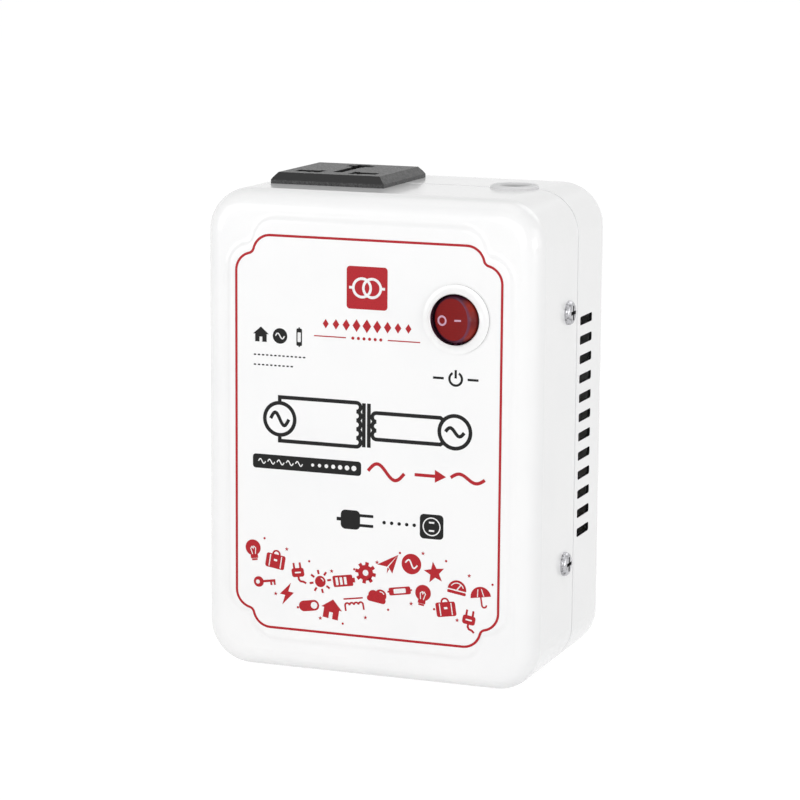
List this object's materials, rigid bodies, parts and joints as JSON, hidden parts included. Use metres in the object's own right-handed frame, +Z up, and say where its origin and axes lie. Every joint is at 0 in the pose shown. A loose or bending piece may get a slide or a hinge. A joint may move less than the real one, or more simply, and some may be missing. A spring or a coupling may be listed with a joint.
{
  "type": "travel voltage converter",
  "caption": "Upright voltage converter: pressed steel case with side vents, lit rocker switch on the front, universal socket and cord bushing on the top, transformer inside.",
  "frame": {"origin": "on the underside, below the middle of the case", "axes": "+X to the right seen from the front, +Y to the back, +Z up"},
  "size_m": [0.1238, 0.083, 0.1692],
  "materials": {
    "painted_steel": "glossy white enamel",
    "zinc_steel": "bright zinc plate",
    "chrome_screw": "bright nickel plate",
    "gland_rubber": "satin light grey",
    "white_plastic": "glossy",
    "red_lens": "clear red, glossy",
    "spring_steel": "bright",
    "brass": "bright",
    "lamp_glass": "clear",
    "resistor_body": "satin",
    "black_plastic": "fine satin grain",
    "core_steel": "blued laminations",
    "bobbin_nylon": "satin",
    "copper_wire": "enamelled copper",
    "coil_tape": "satin",
    "cutout_shell": "satin",
    "red_lead": "satin",
    "black_lead": "satin",
    "yellow_lead": "satin",
    "green_lead": "satin"
  },
  "bodies": {
    "root": {"front_cover": "painted_steel", "rear_cover": "painted_steel", "cover_screws": "chrome_screw", "cord_gland": "gland_rubber", "switch_housing": "white_plastic", "common_terminal": "brass", "switched_terminal": "brass", "lamp_terminal": "brass", "neon_lamp": "lamp_glass", "lamp_resistor": "resistor_body", "socket_cover": "black_plastic", "socket_base": "black_plastic", "live_contact": "brass", "neutral_contact": "brass", "earth_contact": "brass", "socket_screws": "zinc_steel", "core_e_stack": "core_steel", "core_i_stack": "core_steel", "bobbin": "bobbin_nylon", "common_winding": "copper_wire", "series_winding": "copper_wire", "coil_wrap": "coil_tape", "thermal_cutout": "cutout_shell", "core_bolts": "zinc_steel", "core_spacers": "zinc_steel", "core_washers": "zinc_steel", "core_nuts": "zinc_steel", "earth_lug": "zinc_steel", "switch_lead": "red_lead", "output_lead": "yellow_lead", "neutral_lead": "black_lead", "earth_lead": "green_lead"},
    "rocker": {"rocker": "red_lens", "rocker_plunger": "white_plastic", "plunger_spring": "spring_steel"},
    "seesaw": {"seesaw_contact": "brass"}
  },
  "joints": [
    {"name": "rocker_rock", "type": "hinge", "parent": "root", "child": "rocker", "pos_m": [0.0316, -0.0379, 0.12585], "axis": [0, 0, 1], "range_deg": [0, 40]},
    {"name": "seesaw_rock", "type": "hinge", "parent": "root", "child": "seesaw", "pos_m": [0.0316, -0.0291, 0.12585], "axis": [0, 0, 1], "range_deg": [-16, 0]}
  ],
  "couplings": [
    {"joint": "seesaw_rock", "follows": "rocker_rock", "ratio": -0.4}
  ]
}
